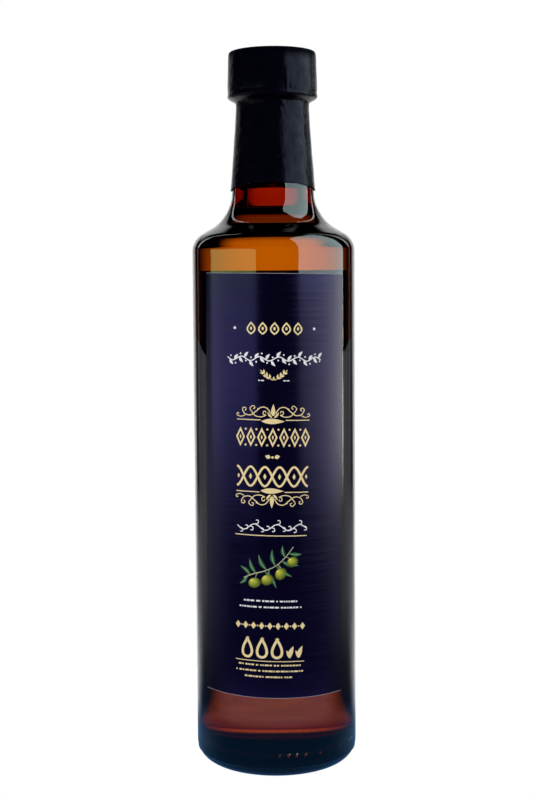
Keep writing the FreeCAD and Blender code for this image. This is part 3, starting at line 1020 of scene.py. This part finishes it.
def make_world():
    """White all round to the eye. Through the glass it is white behind and dark at the sides, and
    reflections see white only behind the bottle, as between black cards."""
    world = bpy.data.worlds.new("studio")
    bpy.context.scene.world = world
    world.use_nodes = True
    tree = world.node_tree
    tree.nodes.clear()
    direction = add_node(tree, "ShaderNodeTexCoord").outputs["Generated"]
    split = add_node(tree, "ShaderNodeSeparateXYZ", inputs={0: direction})
    path = add_node(tree, "ShaderNodeLightPath")
    fields = {}
    for name, axis, dark, full, light in (
            ("low", "Z", 0.22, 0.10, 1.0), ("toward", "Y", -0.88, -0.97, 0.4),
            ("level", "Y", 0.80, 0.91, 1.0), ("over", "Z", 0.30, 0.42, 1.0),
            ("under", "Z", 0.75, 0.62, 1.0), ("raised", "Y", 0.70, 0.80, 0.9)):
        fields[name] = add_node(tree, "ShaderNodeMapRange", SMOOTH, {
            "Value": split.outputs[axis], "From Min": dark, "From Max": full, "To Max": light,
        })
    level_part = add_node(tree, "ShaderNodeVectorMath", MULTIPLY, {0: direction, 1: (1, 1, 0)})
    bearing = add_node(tree, "ShaderNodeVectorMath", {"operation": "NORMALIZE"}, {0: level_part})
    turned = add_node(tree, "ShaderNodeSeparateXYZ", inputs={0: bearing})
    across = add_node(tree, "ShaderNodeMapRange", inputs={
        "Value": turned.outputs["Y"], "From Min": 0.60, "From Max": 0.98,
    })
    away = add_node(tree, "ShaderNodeMath", MULTIPLY, {0: across, 1: fields["low"]})
    through = add_node(tree, "ShaderNodeMath", MAXIMUM, {0: away, 1: fields["toward"]})
    sloping = add_node(tree, "ShaderNodeMath", MULTIPLY, {0: fields["over"], 1: fields["under"]})
    raised = add_node(tree, "ShaderNodeMath", MULTIPLY, {0: fields["raised"], 1: sloping})
    mirrored_part = add_node(tree, "ShaderNodeMath", MAXIMUM, {0: fields["level"], 1: raised})
    colour = (0.42, 0.42, 0.42, 1)
    for kind, look in (("Is Glossy Ray", mirrored_part), ("Is Transmission Ray", through),
                       ("Is Camera Ray", WHITE)):
        colour = add_node(tree, "ShaderNodeMix", COLOURS, {0: path.outputs[kind], 6: colour, 7: look})
    background = add_node(tree, "ShaderNodeBackground", inputs={"Color": colour, "Strength": 1.0})
    add_node(tree, "ShaderNodeOutputWorld", inputs={"Surface": background})


def white_table_painted_light():
    """Matt white board. It shows plain white to the eye. Through the glass it glows with a painted shadow,
    uneven and darkest at the bottle, and in what the glass mirrors from it, it glows with painted
    reflections, blue and dark."""
    material, tree = new_material("white_table_painted_light")
    place = add_node(tree, "ShaderNodeTexCoord").outputs["Object"]
    path = add_node(tree, "ShaderNodeLightPath")
    split = add_node(tree, "ShaderNodeSeparateXYZ", inputs={0: place})
    distance = add_node(tree, "ShaderNodeVectorMath", {"operation": "LENGTH"}, {0: place})
    # Each ramp below is painted light: the first is a painted shadow seen through the glass, the others
    # are painted reflections behind, beside and before the bottle.
    shades = {}
    for name, stops in (("through", TABLE_THROUGH_PAINTED_SHADOW), ("behind", TABLE_PAINTED_REFLECTION_BEHIND),
                        ("beside", TABLE_PAINTED_REFLECTION_BESIDE), ("before", TABLE_PAINTED_REFLECTION_BEFORE)):
        shades[name] = add_node(tree, "ShaderNodeValToRGB", inputs={0: distance})
        points = shades[name].color_ramp.elements
        points.remove(points[1])
        points[0].position = stops[0][0]
        points[0].color = stops[0][1]
        for position, colour in stops[1:]:
            points.new(position).color = colour
    bearing = add_node(tree, "ShaderNodeMath", {"operation": "DIVIDE"}, {
        0: split.outputs["Y"], 1: distance,
    })
    fields = {}
    for name, dark, full in (("far", 0.80, 0.91), ("lateral", 0.42, 0.9), ("before", 0.0, -0.6),
                             ("far_through", 0.87, 0.97)):
        fields[name] = add_node(tree, "ShaderNodeMapRange", SMOOTH, {
            "Value": bearing, "From Min": dark, "From Max": full,
        })
    near_side = add_node(tree, "ShaderNodeMix", COLOURS, {
        0: fields["before"], 6: shades["beside"], 7: shades["before"],
    })
    all_but_far = add_node(tree, "ShaderNodeMix", COLOURS, {
        0: fields["lateral"], 6: near_side, 7: shades["behind"],
    })
    all_round = add_node(tree, "ShaderNodeMix", COLOURS, {0: fields["far"], 6: all_but_far, 7: WHITE})
    mottle = add_node(tree, "ShaderNodeTexNoise", inputs={
        **GRAIN, "Vector": place, "Scale": per_metre(14.3), "Detail": 4.0,
    })
    cloudy = add_node(tree, "ShaderNodeMapRange", inputs={
        **GRAIN_MIDDLE, "Value": mottle, "To Min": 0.7, "To Max": 1.15,
    })
    uneven = add_node(tree, "ShaderNodeMath", MULTIPLY, {0: fields["far_through"], 1: cloudy})
    seen = add_node(tree, "ShaderNodeEmission", inputs={"Color": WHITE})
    # Painted shadow: through the glass the table glows black right at the bottle, grey out to half a
    # metre, white only far off and straight behind, with an uneven mottle.
    through_glass_painted_shadow = add_node(tree, "ShaderNodeEmission", inputs={
        "Color": shades["through"], "Strength": uneven,
    })
    # Painted reflections: in what the glass mirrors, the table glows blue, white and dark by its distance
    # and bearing from the bottle.
    mirrored_painted_reflection = add_node(tree, "ShaderNodeEmission", inputs={"Color": all_round})
    shader = add_node(tree, "ShaderNodeBsdfDiffuse", inputs={"Color": (0.8, 0.8, 0.8, 1)})
    for kind, look in (("Is Glossy Ray", mirrored_painted_reflection), ("Is Transmission Ray", through_glass_painted_shadow),
                       ("Is Camera Ray", seen)):
        shader = add_node(tree, "ShaderNodeMixShader", inputs={0: path.outputs[kind], 1: shader, 2: look})
    add_node(tree, "ShaderNodeOutputMaterial", inputs={"Surface": shader})
    return material


def make_table(material):
    """A plain table top, a hair below the bottle's foot."""
    bm = bmesh.new()
    bmesh.ops.create_grid(bm, x_segments=2, y_segments=2, size=4)
    bmesh.ops.translate(bm, vec=(0, 0, -0.00005), verts=bm.verts)
    mesh = bpy.data.meshes.new("table_top")
    bm.to_mesh(mesh)
    bm.free()
    mesh.materials.append(material)
    table = bpy.data.objects.new("table_top", mesh)
    bpy.context.scene.collection.objects.link(table)


def make_lamp(name, place, aim, size, power):
    """A softbox that the eye doesn't see."""
    lamp = bpy.data.lights.new(name, "AREA")
    lamp.shape = "RECTANGLE"
    lamp.size, lamp.size_y = size
    lamp.energy = power
    holder = bpy.data.objects.new(name, lamp)
    holder.location = place
    holder.rotation_euler = (Vector(aim) - Vector(place)).to_track_quat("-Z", "Y").to_euler()
    holder.visible_camera = False
    holder.visible_transmission = False
    bpy.context.scene.collection.objects.link(holder)
    return holder


def make_reflector(name, azimuth, width, top, low, high, change, foot, inner):
    """A tall panel that shows only in gloss. low and high: its colours below and above the heights
    of change. foot: the height it needs to grow from dark. inner: (share of its light at the edge
    next to the eye, share of the width after which it is full), for its low part."""
    distance = 0.5
    angle = math.radians(azimuth)
    place = (distance * math.sin(angle), -distance * math.cos(angle), top / 2)
    holder = make_lamp(name, place, (0, 0, top / 2), (width, top), math.pi * width * top)
    holder.visible_diffuse = False
    holder.data.use_nodes = True
    tree = holder.data.node_tree
    tree.nodes.clear()
    spot = add_node(tree, "ShaderNodeNewGeometry").outputs["Parametric"]
    split = add_node(tree, "ShaderNodeSeparateXYZ", inputs={0: spot})
    grown = add_node(tree, "ShaderNodeMapRange", SMOOTH, {
        "Value": split.outputs["Y"], "From Min": 0.0, "From Max": foot / top,
    })
    along = add_node(tree, "ShaderNodeMapRange", inputs={
        "Value": split.outputs["X"], "From Min": 0.0, "From Max": inner[1], "To Min": inner[0],
    })
    share = add_node(tree, "ShaderNodeMath", MULTIPLY, {0: grown, 1: along})
    dimmed = add_node(tree, "ShaderNodeMix", COLOURS, {0: share, 6: BLACK, 7: (*low, 1)})
    upper = add_node(tree, "ShaderNodeMapRange", SMOOTH, {
        "Value": split.outputs["Y"], "From Min": change[0] / top, "From Max": change[1] / top,
    })
    colour = add_node(tree, "ShaderNodeMix", COLOURS, {0: upper, 6: dimmed, 7: (*high, 1)})
    glow = add_node(tree, "ShaderNodeEmission", inputs={"Color": colour})
    add_node(tree, "ShaderNodeOutputLight", inputs={"Surface": glow})


def make_lamps():
    """A wide softbox at each side, a narrow strip behind each shoulder, and a soft fill in front."""
    make_reflector("right_softbox", 73.5, 0.82, 1.3, (3.6, 3.6, 2.7), (2.8, 3.7, 3.7),
                   (0.195, 0.203), 0.08, (0.25, 0.85))
    make_reflector("left_softbox", -60, 0.74, 0.2395, (1.05, 1.05, 1.5), (1.7, 2.5, 0.8),
                   (0.195, 0.203), 0.12, (1.0, 1.0))
    for side, name in ((1, "right_strip"), (-1, "left_strip")):
        make_reflector(name, side * 132, 0.04, 1.2, (0.2, 0.2, 0.24), (2.0, 2.05, 2.15),
                       (0.27, 0.31), 0.1, (1.0, 1.0))
    fill = make_lamp("front_fill", (-0.3, -1.2, 0.9), (0, 0, 0.12), (1.0, 1.0), 11.0)
    fill.visible_glossy = False


def make_camera():
    """The camera stands half a metre in front, a little above the label, and looks slightly down."""
    distance = 0.5410
    height = 0.1852
    pitch = 0.08333
    yaw = -0.00565
    roll = 0.00738
    forward = Vector((math.sin(yaw) * math.cos(pitch), math.cos(yaw) * math.cos(pitch),
                      -math.sin(pitch)))
    level_right = Vector((math.cos(yaw), -math.sin(yaw), 0))
    level_up = level_right.cross(forward)
    right = math.cos(roll) * level_right - math.sin(roll) * level_up
    up = math.sin(roll) * level_right + math.cos(roll) * level_up
    camera = bpy.data.objects.new("camera", bpy.data.cameras.new("camera"))
    camera.data.lens = 63.27
    camera.data.sensor_width = 36
    camera.data.clip_start = 0.01
    turn = Matrix((right, up, -forward)).transposed().to_4x4()
    camera.matrix_world = Matrix.Translation((0, -distance, height)) @ turn
    bpy.context.scene.collection.objects.link(camera)
    bpy.context.scene.camera = camera


# ---------------------------------------------------------------- the scene

bpy.context.scene.view_settings.view_transform = "Standard"
make_camera()
make_world()
make_table(white_table_painted_light())
make_lamps()
make_glass(amber_glass())
make_oil(olive_oil())
label_materials = [label_paper(), paper_core(), label_reverse()]
gold_ink = printing_ink("gold_ink", "DCC48C", "F2E0AC", 0.4)
white_ink = printing_ink("white_ink", "D6D6DC", "F4F4F6", 0.4)
make_label_sheet("front_label", "label_front", label_materials, LABEL_SHIFT, LABEL_TILT)
make_label_sheet("back_label", "label_back", label_materials, behind=True, lowered=1.0)
make_front_print(gold_ink, white_ink, picture_inks("olive_inks"))
make_back_print(gold_ink, white_ink)
make_sleeve(shrink_film())
make_cap(cap_polypropylene())
